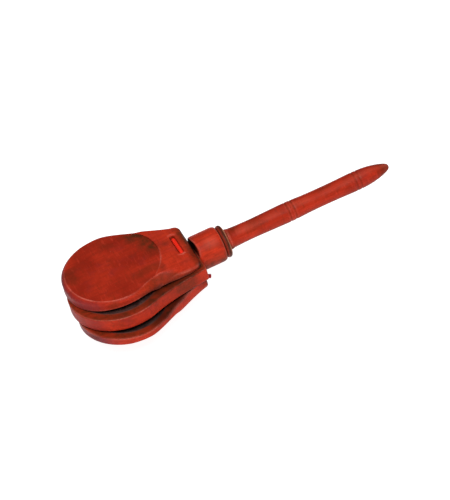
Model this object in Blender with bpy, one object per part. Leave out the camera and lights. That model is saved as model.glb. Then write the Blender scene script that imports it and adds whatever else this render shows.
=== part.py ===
"""Castanets on a turned handle: two hollowed shells laced to a flat board by one cord.

Metres, +Z up. X runs along the handle towards its tip, and the castanets lie on the flat
outer face of the bottom shell. The origin is under the middle of the bounding box.
Shapes are drawn in shoulder coordinates: x is measured from the plane where the board
ends and the round collar starts, and z from the middle of the board.
"""

import math
from functools import partial

import bmesh
import bpy
from mathutils import Vector

# Driving dimensions
HEAD_REACH = 0.0825
TIP_REACH = 0.1281
TOUCH_GAP = 0.0003

BOARD_THICK = 0.009
BOARD_RADIUS = 0.0311
BOARD_HALF_SHOULDER = 0.0205
BOARD_SIDE_LEAD = (-0.018, 0.0230)
BOARD_BACK = -0.0013
BOARD_CORNER = 0.0012
BOARD_EDGE_ROUND = 0.0009
BOARD_DISH_RADIUS = 0.0254
BOARD_DISH_DEPTH = 0.0021

SHELL_RADIUS = 0.0306
SHELL_OFFSET = 0.0064
SHELL_CENTRE_X = -0.0507
NECK_HALF = (0.0172, 0.0187)
NECK_FAR_LEAD = (-0.025, 0.0248)
NECK_NEAR_LEAD = (-0.018, -0.0214)
TOP_SHELL_BACK = -0.0028
TOP_SHELL_CORNER = 0.0044
BOTTOM_SHELL_BACK = -0.0022
BOTTOM_SHELL_CORNER = 0.0012
SHELL_THICK = 0.0077
SHELL_ARCH = 0.0028
SHELL_BOWL_RADIUS = 0.0248
SHELL_BOWL_DEPTH = 0.0056
PAD_PROUD = 0.0008
PAD_STEP_RADIUS = 0.0293

# A shell's outer edge: how far it falls and how far in that reaches, in each region
CHAMFER_FALL, CHAMFER_REACH = 0.0013, 0.0019
FRONT_FALL, FRONT_REACH = 0.0008, 0.0012
BACK_FALL, BACK_REACH = 0.0018, 0.0014
CORNER_FALL, CORNER_REACH = 0.0012, 0.0014
SCOOP_FALL, SCOOP_REACH = 0.0042, 0.0028
FRONT_SPAN = (0.060, 0.080)
BACK_SPAN_START = -0.023
NEAR_SPAN = 0.014
SCOOP_SPAN = (-0.047, -0.016)

COLLAR_RADIUS = 0.0111
COLLAR_START = -0.0012
COLLAR_LENGTH = 0.0156
COLLAR_SOFTENING = 0.0004
COLLAR_CHAMFER = 0.0030
RING_RADIUS = 0.01025
RING_THICK = 0.0034
TENON_RADIUS = 0.0050
TENON_DEPTH = 0.0100
SOCKET_RADIUS = TENON_RADIUS + TOUCH_GAP

CORD_RADIUS = 0.00125
CORD_HOLE_RADIUS = 0.0017
CORD_X = -0.0103
CORD_HALF_SPAN = 0.0073
CORD_SLOT_DEPTH = 0.0029
CORD_BEND = 0.0016
TAIL_DEPTH = 0.0024
TAIL_END = (0.0006, -0.0152)

# Places that follow from them
BOARD_CENTRE_X = BOARD_RADIUS - HEAD_REACH
SHELL_PAD_HEIGHT = SHELL_THICK + PAD_PROUD
RIM_LEVEL = BOARD_THICK / 2 + TOUCH_GAP
AXIS_HEIGHT = RIM_LEVEL + SHELL_PAD_HEIGHT
SHOULDER_X = (HEAD_REACH - TIP_REACH) / 2
HINGE_LEVEL = BOARD_THICK / 2 + TOUCH_GAP / 2
RING_START = COLLAR_LENGTH + TOUCH_GAP
GRIP_START = RING_START + RING_THICK + TOUCH_GAP
SPINE_END = -0.019
ARCH_END = -0.011

# A hollow's section, as shares of its radius and of its depth
DISH_SECTION = ((0.97, 0.35), (0.9, 0.68), (0.75, 0.88), (0.45, 1.0))

# Fineness
ARC_STEPS = 44
SIDE_STEPS = 9
CORNER_STEPS = 5
ROUND_STEPS = 48
HOLE_STEPS = 20
EDGE_STEPS = 5
CUT_MARGIN = 0.004


def clear_scene():
    for obj in list(bpy.data.objects):
        bpy.data.objects.remove(obj, do_unlink=True)


def material(name, colour, roughness, metallic=0.0):
    mat = bpy.data.materials.new(name)
    mat.use_nodes = True
    shader = mat.node_tree.nodes["Principled BSDF"]
    shader.inputs["Base Color"].default_value = (*colour, 1.0)
    shader.inputs["Roughness"].default_value = roughness
    shader.inputs["Metallic"].default_value = metallic
    return mat


def place(x, y, z):
    """World position of a point given in shoulder coordinates."""
    return Vector((SHOULDER_X + x, y, AXIS_HEIGHT + z))


def add_mesh(name, build, location=None, flipped=False):
    """One object from a function that fills a bmesh, placed in shoulder coordinates."""
    mesh = bpy.data.meshes.new(name)
    bm = bmesh.new()
    build(bm)
    bmesh.ops.recalc_face_normals(bm, faces=bm.faces)
    bm.to_mesh(mesh)
    bm.free()
    obj = bpy.data.objects.new(name, mesh)
    bpy.context.scene.collection.objects.link(obj)
    obj.location = location or place(0, 0, 0)
    if flipped:
        obj.rotation_euler = (math.pi, 0, 0)
    return obj


def loft(bm, rings):
    """Skin a list of rings that hold equally many points, and close both ends."""
    loops = [[bm.verts.new(p) for p in ring] for ring in rings]
    for low, high in zip(loops, loops[1:]):
        for i, corner in enumerate(low):
            j = (i + 1) % len(low)
            bm.faces.new((corner, low[j], high[j], high[i]))
    bm.faces.new(list(reversed(loops[0])))
    bm.faces.new(loops[-1])


def revolve(bm, profile, steps=ROUND_STEPS, start=0.0):
    """Turn (x, radius) stations about the handle's axis. A radius of 0 closes an end."""
    previous = None
    for x, radius in profile:
        count = steps if radius > 0 else 1
        turns = [start + math.tau * i / steps for i in range(count)]
        ring = [bm.verts.new((x, radius * math.cos(a), radius * math.sin(a))) for a in turns]
        if previous:
            bridge(bm, previous, ring, steps)
        previous = ring


def bridge(bm, first, second, steps):
    for i in range(steps):
        j = (i + 1) % steps
        quad = [first[i % len(first)], first[j % len(first)]]
        quad += [second[j % len(second)], second[i % len(second)]]
        bm.faces.new(list(dict.fromkeys(quad)))


def turned_ring(bm, profile):
    """Turn a closed (x, radius) section about the handle's axis."""
    loops = []
    for i in range(ROUND_STEPS):
        a = math.tau * i / ROUND_STEPS
        loops.append([bm.verts.new((x, r * math.cos(a), r * math.sin(a))) for x, r in profile])
    for i, loop in enumerate(loops):
        following = loops[(i + 1) % ROUND_STEPS]
        for k in range(len(profile)):
            m = (k + 1) % len(profile)
            bm.faces.new((loop[k], loop[m], following[m], following[k]))


def cylinder(bm, centre, radius, half_height, steps=HOLE_STEPS):
    ends = []
    for z in (centre[2] - half_height, centre[2] + half_height):
        turns = [math.tau * i / steps for i in range(steps)]
        ends.append([(centre[0] + radius * math.cos(a), centre[1] + radius * math.sin(a), z) for a in turns])
    loft(bm, ends)


def cut(target, cutter):
    """Subtract a helper object that follows the target's placement."""
    cutter.hide_render = True
    cutter.display_type = "WIRE"
    boolean = target.modifiers.new(cutter.name, "BOOLEAN")
    boolean.operation = "DIFFERENCE"
    boolean.solver = "EXACT"
    boolean.object = cutter


def join(target, other):
    other.hide_render = True
    other.display_type = "WIRE"
    boolean = target.modifiers.new(other.name, "BOOLEAN")
    boolean.operation = "UNION"
    boolean.solver = "EXACT"
    boolean.object = other


def finish(obj, mat, smooth_angle=35):
    obj.data.materials.append(mat)
    obj.data.polygons.foreach_set("use_smooth", [True] * len(obj.data.polygons))
    obj.data.set_sharp_from_angle(angle=math.radians(smooth_angle))


def bezier(p0, p1, p2, p3, steps):
    """Points on a cubic curve, without its first point."""
    found = []
    for i in range(1, steps + 1):
        t = i / steps
        weights = ((1 - t) ** 3, 3 * t * (1 - t) ** 2, 3 * t * t * (1 - t), t**3)
        found.append(tuple(sum(w * p[k] for w, p in zip(weights, (p0, p1, p2, p3))) for k in range(2)))
    return found


def side_curve(start, angle, reach, lead, end):
    """From the round end's rim, along its tangent, into the neck's side."""
    side = 1 if angle > 0 else -1
    tangent = (math.sin(angle) * side, -math.cos(angle) * side)
    first = (start[0] + reach * tangent[0], start[1] + reach * tangent[1])
    return bezier(start, first, lead, end, SIDE_STEPS)


def pear_outline(centre, radius, angles, leads, neck_half, back, corner):
    """A round end that narrows to a square-backed neck, anticlockwise from the far side.

    angles are where the sides leave the round end, leads the points that steer them,
    and neck_half the neck's half widths on the +Y and -Y sides.
    """
    upper, lower = angles
    arc = []
    for i in range(ARC_STEPS + 1):
        a = upper + (math.tau + lower - upper) * i / ARC_STEPS
        arc.append((centre[0] + radius * math.cos(a), centre[1] + radius * math.sin(a)))
    near_end = (back - corner, -neck_half[1])
    far_end = (back - corner, neck_half[0])
    near = side_curve(arc[-1], lower, leads[1][0], leads[1][1], near_end)
    far = side_curve(arc[0], upper, leads[0][0], leads[0][1], far_end)
    near_corner = corner_arc((back - corner, corner - neck_half[1]), corner, -math.pi / 2)
    far_corner = corner_arc((back - corner, neck_half[0] - corner), corner, 0)
    return arc + near + near_corner + far_corner[:-1] + list(reversed(far))


def corner_arc(centre, radius, start):
    found = []
    for i in range(1, CORNER_STEPS + 1):
        a = start + math.pi / 2 * i / CORNER_STEPS
        found.append((centre[0] + radius * math.cos(a), centre[1] + radius * math.sin(a)))
    return found


def toward(points, targets, distances):
    """Each point moved by its distance towards its own target."""
    moved = []
    for p, q, d in zip(points, targets, distances):
        reach = math.hypot(q[0] - p[0], q[1] - p[1])
        moved.append((p[0] + (q[0] - p[0]) * d / reach, p[1] + (q[1] - p[1]) * d / reach))
    return moved


def around(points, centre, radius):
    """Each point drawn along its own ray onto a circle."""
    found = []
    for p in points:
        a = math.atan2(p[1] - centre[1], p[0] - centre[0])
        found.append((centre[0] + radius * math.cos(a), centre[1] + radius * math.sin(a)))
    return found


def between(first, second, share):
    return [(a[0] + (b[0] - a[0]) * share, a[1] + (b[1] - a[1]) * share) for a, b in zip(first, second)]


def raised(points, level):
    """2-D points given a height, which is a number or a function of x and y."""
    return [(x, y, level(x, y) if callable(level) else level) for x, y in points]


def board_outline():
    leave = math.radians(68)
    reach = 0.013
    lead = BOARD_SIDE_LEAD
    return pear_outline(
        (BOARD_CENTRE_X, 0),
        BOARD_RADIUS,
        (leave, -leave),
        ((reach, lead), (reach, (lead[0], -lead[1]))),
        (BOARD_HALF_SHOULDER, BOARD_HALF_SHOULDER),
        BOARD_BACK,
        BOARD_CORNER,
    )


def shell_outline(back, corner):
    return pear_outline(
        (SHELL_CENTRE_X, SHELL_OFFSET),
        SHELL_RADIUS,
        (math.radians(84), math.radians(-77)),
        ((0.008, NECK_FAR_LEAD), (0.013, NECK_NEAR_LEAD)),
        NECK_HALF,
        back,
        corner,
    )


def dish_rings(outline, centre, radius, depth, level, inward):
    """Rings from a flat land to the bottom of a round hollow. inward is +1 or -1 in z."""
    land = around(outline, centre, radius)
    rings = [raised(between(outline, land, share), level) for share in (0.35, 0.7, 1.0)]
    for share, drop in DISH_SECTION:
        circle = around(outline, centre, radius * share)
        lowered = [level(x, y) * (1 - drop) if callable(level) else level for x, y in circle]
        rings.append([(x, y, z + inward * depth * drop) for (x, y), z in zip(circle, lowered)])
    return rings


def build_board(bm):
    """The flat board with a shallow round dish in each face."""
    outline = board_outline()
    centre = (BOARD_CENTRE_X, 0)
    half = BOARD_THICK / 2
    edge = BOARD_EDGE_ROUND
    rings = list(reversed(dish_rings(outline, centre, BOARD_DISH_RADIUS, BOARD_DISH_DEPTH, -half, 1)))
    spine = [(min(max(x, BOARD_CENTRE_X), SPINE_END), 0) for x, y in outline]
    for inset, drop in ((1.0, 0.0), (0.3, 0.3), (0.0, 1.0)):
        rings.append(raised(toward(outline, spine, [inset * edge] * len(outline)), -half + drop * edge))
    for inset, drop in ((0.0, 1.0), (0.3, 0.3), (1.0, 0.0)):
        rings.append(raised(toward(outline, spine, [inset * edge] * len(outline)), half - drop * edge))
    rings += dish_rings(outline, centre, BOARD_DISH_RADIUS, BOARD_DISH_DEPTH, half, -1)
    loft(bm, rings)


def build_collar(bm):
    """The round collar, with a flat tongue that roots it in the board."""
    straight = COLLAR_LENGTH - COLLAR_CHAMFER
    end_radius = COLLAR_RADIUS - COLLAR_CHAMFER / 2
    soft = COLLAR_SOFTENING
    profile = [(COLLAR_START, 0), (COLLAR_START, COLLAR_RADIUS - soft), (COLLAR_START + soft, COLLAR_RADIUS)]
    for i in range(EDGE_STEPS + 1):
        a = math.pi / 2 * i / EDGE_STEPS
        x = straight + COLLAR_CHAMFER * math.sin(a)
        profile.append((x, end_radius + (COLLAR_RADIUS - end_radius) * math.cos(a)))
    profile.append((COLLAR_LENGTH, 0))
    revolve(bm, profile)


def build_tongue(bm):
    half_width = COLLAR_RADIUS - 4 * COLLAR_SOFTENING
    half_height = BOARD_THICK / 2 - BOARD_EDGE_ROUND
    reach = (BOARD_BACK - COLLAR_LENGTH / 3, COLLAR_LENGTH / 3)
    corners = [(reach[0], -half_width), (reach[1], -half_width)]
    corners += [(reach[1], half_width), (reach[0], half_width)]
    loft(bm, [raised(corners, -half_height), raised(corners, half_height)])


def make_paddle(wood):
    paddle = add_mesh("paddle", build_board)
    join(paddle, add_mesh("collar_form", build_collar))
    join(paddle, add_mesh("tongue_form", build_tongue))
    bottom = COLLAR_LENGTH - TENON_DEPTH - TOUCH_GAP
    profile = [(bottom, 0), (bottom, SOCKET_RADIUS)]
    profile += [(COLLAR_LENGTH + CUT_MARGIN, SOCKET_RADIUS), (COLLAR_LENGTH + CUT_MARGIN, 0)]
    cut(paddle, add_mesh("socket_cutter", lambda bm: revolve(bm, profile, start=0.03)))
    for side in (-1, 1):
        centre = (CORD_X, side * CORD_HALF_SPAN, 0)
        hole = partial(cylinder, centre=centre, radius=CORD_HOLE_RADIUS, half_height=BOARD_THICK)
        cut(paddle, add_mesh("paddle_hole_cutter", hole))
    finish(paddle, wood)


def arch(x, y):
    """Height of a shell's rim over the board: it touches at the tip and along the neck."""
    return SHELL_ARCH * math.sin(math.pi * ramp(x, SHELL_CENTRE_X - SHELL_RADIUS, ARCH_END))


def ramp(value, start, end):
    return min(max((value - start) / (end - start), 0.0), 1.0)


def edge_shape(x, y, back):
    """How far the outer edge falls, how far in that reaches, and how straight the fall is.

    The edge is a small chamfer round the disc, a slanted scoop at the -Y waist, and a
    round shoulder at the back that is fullest in the -Y corner.
    """
    near = ramp(-y, 0.0, NEAR_SPAN)
    front = ramp(-x, *FRONT_SPAN)
    tail = ramp(x, BACK_SPAN_START, back)
    scoop = near * math.sin(math.pi * ramp(x, *SCOOP_SPAN)) ** 2
    fall = PAD_PROUD + CHAMFER_FALL + front * FRONT_FALL + scoop * SCOOP_FALL
    fall += tail * (BACK_FALL + near * CORNER_FALL)
    reach = CHAMFER_REACH + front * FRONT_REACH + scoop * SCOOP_REACH
    reach += tail * (BACK_REACH + near * CORNER_REACH)
    return fall, reach, max((1 - tail) / 2, scoop)


def build_shell(bm, back, corner):
    outline = shell_outline(back, corner)
    centre = (SHELL_CENTRE_X, SHELL_OFFSET)
    rings = list(reversed(dish_rings(outline, centre, SHELL_BOWL_RADIUS, SHELL_BOWL_DEPTH, arch, 1)))
    rings.append(raised(outline, arch))
    shapes = [edge_shape(x, y, back) for x, y in outline]
    share = [ramp(x, SHELL_CENTRE_X, SPINE_END) for x, y in outline]
    spine = [(SHELL_CENTRE_X + s * (SPINE_END - SHELL_CENTRE_X), SHELL_OFFSET * (1 - s)) for s in share]
    for i in range(EDGE_STEPS + 1):
        t = i / EDGE_STEPS
        inward = 1 - math.cos(t * math.pi / 2)
        below = 1 - math.sin(t * math.pi / 2)
        inset = [reach * (inward + (t - inward) * flat) for fall, reach, flat in shapes]
        drop = [fall * (below + (1 - t - below) * flat) for fall, reach, flat in shapes]
        ring = toward(outline, spine, inset)
        rings.append([(x, y, SHELL_PAD_HEIGHT - d) for (x, y), d in zip(ring, drop)])
    loft(bm, rings)


def build_disc_cutter(bm):
    """Everything outside the raised pad on the neck, which stops at a round step."""
    wide = 2 * SHELL_RADIUS
    half = math.radians(49)
    step = [-half + 2 * half * i / ARC_STEPS for i in range(ARC_STEPS + 1)]
    circle = [(PAD_STEP_RADIUS * math.cos(a), PAD_STEP_RADIUS * math.sin(a)) for a in step]
    outline = [(SHELL_CENTRE_X + x, SHELL_OFFSET + y) for x, y in circle]
    outline += [(outline[-1][0], wide), (SHELL_CENTRE_X - wide, wide)]
    outline += [(SHELL_CENTRE_X - wide, -wide), (outline[0][0], -wide)]
    loft(bm, [raised(outline, SHELL_THICK), raised(outline, SHELL_PAD_HEIGHT + CUT_MARGIN)])


def build_slot_cutter(bm):
    """The trench that the cord lies in, between its two holes."""
    ends = []
    for z in (SHELL_PAD_HEIGHT - CORD_SLOT_DEPTH, SHELL_PAD_HEIGHT + CUT_MARGIN):
        loop = []
        for side, start in ((1, 0.0), (-1, math.pi)):
            for i in range(HOLE_STEPS // 2 + 1):
                a = start + math.pi * i / (HOLE_STEPS // 2)
                x = CORD_X + CORD_HOLE_RADIUS * math.cos(a)
                loop.append((x, side * CORD_HALF_SPAN + CORD_HOLE_RADIUS * math.sin(a), z))
        ends.append(loop)
    loft(bm, ends)


def build_tail_cutter(bm):
    """The groove in the inner face that leads the cord's free end out behind the neck."""
    start = Vector((CORD_X, CORD_HALF_SPAN, 0))
    along = (Vector((TAIL_END[0], -TAIL_END[1], 0)) - start).normalized()
    end = Vector((TAIL_END[0], -TAIL_END[1], 0)) + along * CUT_MARGIN
    across = along.cross(Vector((0, 0, 1))) * CORD_HOLE_RADIUS
    corners = [start - across, start + across, end + across, end - across]
    depth = TAIL_DEPTH + CORD_HOLE_RADIUS
    loft(bm, [[(p.x, p.y, z) for p in corners] for z in (-CUT_MARGIN, depth)])


def make_shell(name, wood, back, corner, flipped):
    """A shell whose origin lies on its hinge line, under the neck's back edge."""
    hinge = Vector((back, 0, HINGE_LEVEL - RIM_LEVEL))
    side = -1 if flipped else 1
    location = place(back, 0, side * HINGE_LEVEL)

    def from_hinge(build):
        def built(bm):
            build(bm)
            bmesh.ops.translate(bm, verts=bm.verts, vec=-hinge)

        return built

    def hole(bm, y):
        cylinder(bm, (CORD_X, y, 0), CORD_HOLE_RADIUS, SHELL_PAD_HEIGHT + CUT_MARGIN)

    shell = add_mesh(name, from_hinge(lambda bm: build_shell(bm, back, corner)), location, flipped)
    cutters = {"disc": build_disc_cutter, "slot": build_slot_cutter}
    cutters["near_hole"] = lambda bm: hole(bm, -CORD_HALF_SPAN)
    cutters["far_hole"] = lambda bm: hole(bm, CORD_HALF_SPAN)
    if flipped:
        cutters["tail"] = build_tail_cutter
    for cutter, build in cutters.items():
        cut(shell, add_mesh(f"{name}_{cutter}_cutter", from_hinge(build), location, flipped))
    finish(shell, wood)


def make_ring(dark):
    middle = RING_START + RING_THICK / 2
    half = RING_THICK / 2
    rim = RING_RADIUS - half
    section = [(middle - half, SOCKET_RADIUS)]
    for i in range(9):
        a = math.pi * (1 - i / 8)
        section.append((middle + half * math.cos(a), rim + half * math.sin(a)))
    section.append((middle + half, SOCKET_RADIUS))
    finish(add_mesh("ring", lambda bm: turned_ring(bm, section)), dark)


def groove(x, radius):
    """Stations across a scored line."""
    lip, floor, depth = 0.0005, 0.0002, 0.0003
    return [(x - lip, radius), (x - floor, radius - depth), (x + floor, radius - depth), (x + lip, radius)]


def make_grip(wood):
    profile = [(COLLAR_LENGTH - TENON_DEPTH, 0), (COLLAR_LENGTH - TENON_DEPTH, TENON_RADIUS)]
    profile += [(GRIP_START, TENON_RADIUS), (GRIP_START, 0.0062), (GRIP_START + 0.0006, 0.0065)]
    profile += [(GRIP_START + 0.0018, 0.0065), (GRIP_START + 0.0024, 0.0061)]
    profile += [(0.0287, 0.0058), (0.0372, 0.0057), (0.0480, 0.00592), (0.0560, 0.00608)]
    profile += [*groove(0.0602, 0.00613), *groove(0.0638, 0.00605)]
    profile += [(0.0715, 0.0057), (0.0790, 0.00555), (0.0868, 0.00555), (0.0945, 0.00565), (0.1000, 0.0058)]
    profile += [*groove(0.1050, 0.0059), *groove(0.1078, 0.00585), (0.1121, 0.00565), (0.1161, 0.0052)]
    profile += [(0.1197, 0.0044), (0.1228, 0.0035), (0.1256, 0.0025), (0.1274, 0.0014), (TIP_REACH, 0)]
    finish(add_mesh("grip", lambda bm: revolve(bm, profile)), wood, 60)


def cord_curve(name, points, mat):
    """A round cord along points, drawn in shoulder coordinates."""
    curve = bpy.data.curves.new(name, "CURVE")
    curve.dimensions = "3D"
    curve.bevel_depth = CORD_RADIUS
    curve.bevel_resolution = 3
    curve.use_fill_caps = True
    spline = curve.splines.new("POLY")
    spline.points.add(len(points) - 1)
    for point, target in zip(spline.points, points):
        point.co = (*place(*target), 1)
    curve.materials.append(mat)
    obj = bpy.data.objects.new(name, curve)
    bpy.context.scene.collection.objects.link(obj)


def bend(corner, first, second, radius, steps=5):
    """An arc that rounds the corner between two directions, given as unit vectors."""
    centre = Vector(corner) + radius * (Vector(second) - Vector(first))
    found = []
    for i in range(steps + 1):
        a = math.pi / 2 * i / steps
        found.append(centre - radius * math.cos(a) * Vector(second) + radius * math.sin(a) * Vector(first))
    return found


def lacing_loop(side):
    """Up through one hole of a shell, along its slot and down the other. side is +1 or -1."""
    run = side * (RIM_LEVEL + SHELL_PAD_HEIGHT - CORD_SLOT_DEPTH + TOUCH_GAP + CORD_RADIUS)
    up = (0, 0, side)
    down = (0, 0, -side)
    across = (0, 1, 0)
    points = [Vector((CORD_X, -CORD_HALF_SPAN, side * RIM_LEVEL))]
    points += bend((CORD_X, -CORD_HALF_SPAN, run), up, across, CORD_BEND)
    points += bend((CORD_X, CORD_HALF_SPAN, run), across, down, CORD_BEND)
    points += [Vector((CORD_X, CORD_HALF_SPAN, side * RIM_LEVEL))]
    return points


def make_cord(cord):
    cord_curve("cord_top_loop", lacing_loop(1), cord)
    cord_curve("cord_bottom_loop", lacing_loop(-1), cord)
    for name, side in (("cord_near_leg", -1), ("cord_far_leg", 1)):
        ends = [(CORD_X, side * CORD_HALF_SPAN, z) for z in (-BOARD_THICK / 2, BOARD_THICK / 2)]
        cord_curve(name, ends, cord)
    level = -(RIM_LEVEL + TAIL_DEPTH)
    start = Vector((CORD_X, -CORD_HALF_SPAN, level))
    end = Vector((*TAIL_END, level))
    lead = (end - start).normalized() * (2 * CORD_RADIUS + TOUCH_GAP)
    cord_curve("cord_tail", [start + lead, end], cord)


def main():
    clear_scene()
    wood = material("red_wood", (0.40, 0.035, 0.018), 0.42)
    make_paddle(wood)
    shell_wood = material("red_shell_wood", (0.38, 0.030, 0.018), 0.45)
    make_shell("top_shell", shell_wood, TOP_SHELL_BACK, TOP_SHELL_CORNER, flipped=False)
    lower_wood = material("red_lower_shell_wood", (0.38, 0.030, 0.018), 0.45)
    make_shell("bottom_shell", lower_wood, BOTTOM_SHELL_BACK, BOTTOM_SHELL_CORNER, flipped=True)
    make_ring(material("dark_ring", (0.045, 0.016, 0.010), 0.35))
    make_grip(material("red_grip_wood", (0.42, 0.038, 0.020), 0.38))
    make_cord(material("red_cord", (0.75, 0.035, 0.010), 0.65))


main()
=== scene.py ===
"""Looks for the castanets: fine wood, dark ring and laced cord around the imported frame.

Shapes are drawn in shoulder coordinates: x is measured from the plane where the board
ends and the collar starts, and y and z from the handle's axis.
"""

from math import atan2, cos, degrees, hypot, pi, radians, sin, tau

import bmesh
import bpy
from mathutils import Matrix, Vector, noise
from mathutils.kdtree import KDTree


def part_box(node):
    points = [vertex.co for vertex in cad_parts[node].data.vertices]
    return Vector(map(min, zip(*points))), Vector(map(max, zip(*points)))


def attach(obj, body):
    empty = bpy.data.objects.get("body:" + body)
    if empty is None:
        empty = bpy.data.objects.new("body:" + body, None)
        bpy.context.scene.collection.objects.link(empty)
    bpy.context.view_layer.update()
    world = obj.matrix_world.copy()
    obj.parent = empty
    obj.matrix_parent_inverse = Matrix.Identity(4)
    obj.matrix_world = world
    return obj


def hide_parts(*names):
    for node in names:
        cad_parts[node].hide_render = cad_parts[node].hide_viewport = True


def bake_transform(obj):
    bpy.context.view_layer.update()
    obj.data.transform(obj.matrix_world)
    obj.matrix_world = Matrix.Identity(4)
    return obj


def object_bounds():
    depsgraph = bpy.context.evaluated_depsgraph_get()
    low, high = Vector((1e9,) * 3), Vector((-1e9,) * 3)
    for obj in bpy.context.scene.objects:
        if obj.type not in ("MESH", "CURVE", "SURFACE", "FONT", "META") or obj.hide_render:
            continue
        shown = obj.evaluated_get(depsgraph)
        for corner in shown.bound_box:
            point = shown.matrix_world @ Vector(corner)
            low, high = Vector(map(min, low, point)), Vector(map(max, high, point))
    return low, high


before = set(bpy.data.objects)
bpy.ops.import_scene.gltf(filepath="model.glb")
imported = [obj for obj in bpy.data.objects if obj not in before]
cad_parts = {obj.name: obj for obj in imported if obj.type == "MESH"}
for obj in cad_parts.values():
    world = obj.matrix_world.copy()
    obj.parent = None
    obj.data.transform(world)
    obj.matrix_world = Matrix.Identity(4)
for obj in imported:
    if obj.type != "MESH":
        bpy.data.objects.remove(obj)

cad_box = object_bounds()

# The board. Angles are in degrees, and a lead is the point that a side's curve steers by
BOARD_THICK = 0.009
BOARD_RADIUS = 0.0311
BOARD_CENTRE_X = -0.0514
BOARD_CENTRE = (BOARD_CENTRE_X, 0)
SHOULDER_HALF = 0.0205
BOARD_BACK = -0.0013
BOARD_CORNER = 0.0012
BOARD_EDGE = 0.0010
BOARD_ANGLE = 68
BOARD_REACH = 0.013
BOARD_LEAD = (-0.018, SHOULDER_HALF + 0.0025)
DISH_RADIUS = 0.0254
DISH_DEPTH = 0.0021

# The shells, whose back and corner differ
SHELL_RADIUS = 0.0306
SHELL_OFFSET = 0.0064
SHELL_CENTRE_X = -0.0507
SHELL_CENTRE = (SHELL_CENTRE_X, SHELL_OFFSET)
SHELL_ANGLES = (84, -77)
SHELL_REACHES = (0.008, 0.013)
SHELL_LEADS = ((-0.025, 0.0248), (-0.018, -0.0214))
SHELL_EDGE = 0.0004
NECK_HALF = (0.0172, 0.0187)
TOP_SHELL_BACK = -0.0028
TOP_SHELL_CORNER = 0.0044
BOTTOM_SHELL_BACK = -0.0022
BOTTOM_SHELL_CORNER = 0.0012
FAR_SWELL = 0.0008
SWELL_TURN = 140
SWELL_SPREAD = (5, 48)
SHELL_THICK = 0.0077
SHELL_ARCH = 0.0028
BOWL_RADIUS = 0.0248
BOWL_DEPTH = 0.0056
PAD_PROUD = 0.0008
PAD_HEIGHT = SHELL_THICK + PAD_PROUD
STEP_RADIUS = 0.0300
STEP_BLEND = (0.0001, 0.0026)
SPINE_END = -0.019
ARCH_END = -0.011
GAP = 0.0003
RIM_LEVEL = BOARD_THICK / 2 + GAP

# The collar, ring and tenon
COLLAR_RADIUS = 0.0111
COLLAR_START = -0.0012
COLLAR_LENGTH = 0.0156
COLLAR_END_ROUND = (0.0030, 0.0015)
COLLAR_SOFT = 0.0006
TONGUE_INSET = (0.0015, 0.0009)
TONGUE_REACH = 0.006
CUT_BACK = 0.0009
RING_THICK = 0.0034
TENON_RADIUS = 0.0050
TENON_DEPTH = 0.0100
RING_BORE = TENON_RADIUS + 0.0004

# The cord, its holes and slot, and the groove its end lies in
CORD_RADIUS = 0.00135
HOLE_RADIUS = 0.0015
CORD_SHIFT = 0.0002
CORD_X = -0.0103
HOLE_OFFSET = 0.0073
CORD_SLOT_DEPTH = 0.0029
CORD_BEND = 0.0016
TAIL_LEVEL = -0.0072
TAIL_END = (0.0006, -0.0152)
TAIL_GROOVE_TOP = 0.0041
TAIL_GROOVE_REACH = 0.02
BELOW_RIM = -0.004
PLAIT_STRANDS = 6
PLAIT_LAY = 0.0042
PLAIT_BULGE = 0.10
PLAIT_SPACING = 0.00022
PLAIT_TURNS = 24
BLEND_END = 0.0035

# Places read from the frame
paddle_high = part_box("paddle")[1]
grip_low, grip_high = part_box("grip")
ring_low, ring_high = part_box("ring")
SHOULDER_X = paddle_high.x - COLLAR_LENGTH
AXIS_HEIGHT = (grip_low.z + grip_high.z) / 2
TIP_REACH = grip_high.x - SHOULDER_X
RING_MIDDLE = (ring_low.x + ring_high.x) / 2 - SHOULDER_X
RING_RADIUS = (ring_high.z - ring_low.z) / 2
GRIP_START = ring_high.x - SHOULDER_X + GAP

# Fineness: how many steps a curve takes, and at what shares of a face its rings lie
ARC_STEPS = 150
SIDE_STEPS = 30
CORNER_STEPS = 8
BACK_STEPS = 14
TURN_STEPS = 120
EDGE_STEPS = 8
END_STEPS = 12
SOFT_EDGE_STEPS = 4
SLOT_STEPS = 12
BEND_STEPS = 8
HOLE_STEPS = 24
CROWN_STEPS = 16
LAND_SHARES = (0.8, 0.6, 0.4, 0.2, 0.0)
WALL_SHARES = (0.25, 0.5, 0.75)
STEP_SHARES = (0.08, 0.2, 0.35, 0.5, 0.65, 0.8, 0.92, 1.0)
DISC_SHARES = (0.993, 0.98, 0.96, 0.93, 0.88, 0.82, 0.75, 0.66, 0.56, 0.45, 0.33, 0.2, 0.08)
BOWL_SHARES = (1.0, 0.995, 0.985, 0.97, 0.95, 0.92, 0.88, 0.83, 0.76, 0.68, 0.58, 0.46, 0.32, 0.16, 0.04)
BOARD_WALL_LEVELS = (-0.0024, -0.0012, 0.0, 0.0012, 0.0024)

# How close counts as on a surface when a place is tested
TOUCH = 0.0001

# How wavy the walls of the board and the shells are, as carving leaves them
WAVER = 0.00012

# The angles past which an edge is shaded sharp
CARVED_SHARP = 38
TURNED_SHARP = 50
CORD_SHARP = 80


def place(p):
    """A point in shoulder coordinates, given in the frame's."""
    return Vector((SHOULDER_X + p[0], p[1], AXIS_HEIGHT + p[2]))


FROM_SHOULDER = Matrix.Translation(place((0, 0, 0)))


def ramp(value, start, end):
    """0 before the start, 1 past the end and straight between them."""
    return min(max((value - start) / (end - start), 0.0), 1.0)


def ease(value, start, end):
    """A ramp that starts and ends softly."""
    t = ramp(value, start, end)
    return t * t * (3 - 2 * t)


def fade(value, start, end):
    return 1 - ease(value, start, end)


def band(value, middle, width):
    """1 at the middle, falling straight to 0 at a width either side."""
    return max(1 - abs(value - middle) / width, 0.0)


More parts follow.
